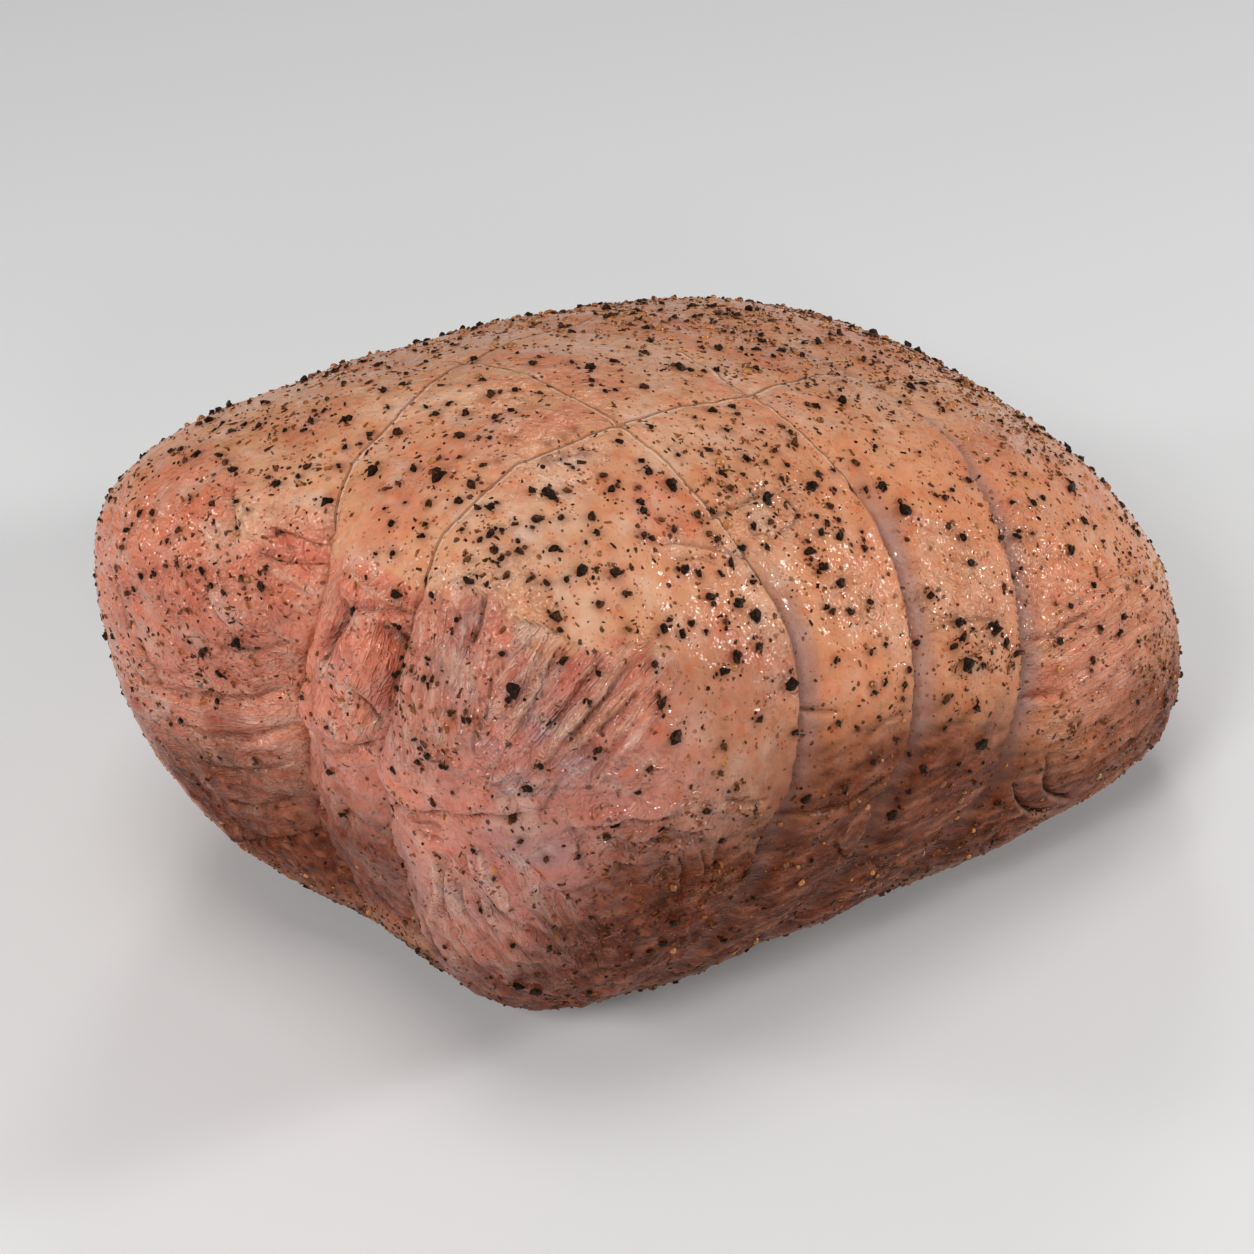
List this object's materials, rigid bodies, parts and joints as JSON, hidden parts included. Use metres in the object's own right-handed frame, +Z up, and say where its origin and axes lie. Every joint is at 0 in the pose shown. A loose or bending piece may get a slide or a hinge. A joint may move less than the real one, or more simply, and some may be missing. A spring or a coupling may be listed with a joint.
{
  "type": "black pepper ham",
  "caption": "Whole boneless ham cooked tight in string, with deep string grooves, folded meat at the tied end and a coat of cracked black pepper.",
  "frame": {"origin": "centre of the ham's outline seen from above, on the surface that it rests on", "axes": "+Z up, +X along the ham from the tied end towards the smooth butt end, -Y towards the side with the visible string grooves"},
  "size_m": [0.2402, 0.1996, 0.1373],
  "materials": {
    "meat": "moist cooked ham, tan skin over pink-brown meat, glossy, coated in cracked black pepper"
  },
  "bodies": {
    "root": {"ham": "meat"}
  },
  "joints": []
}
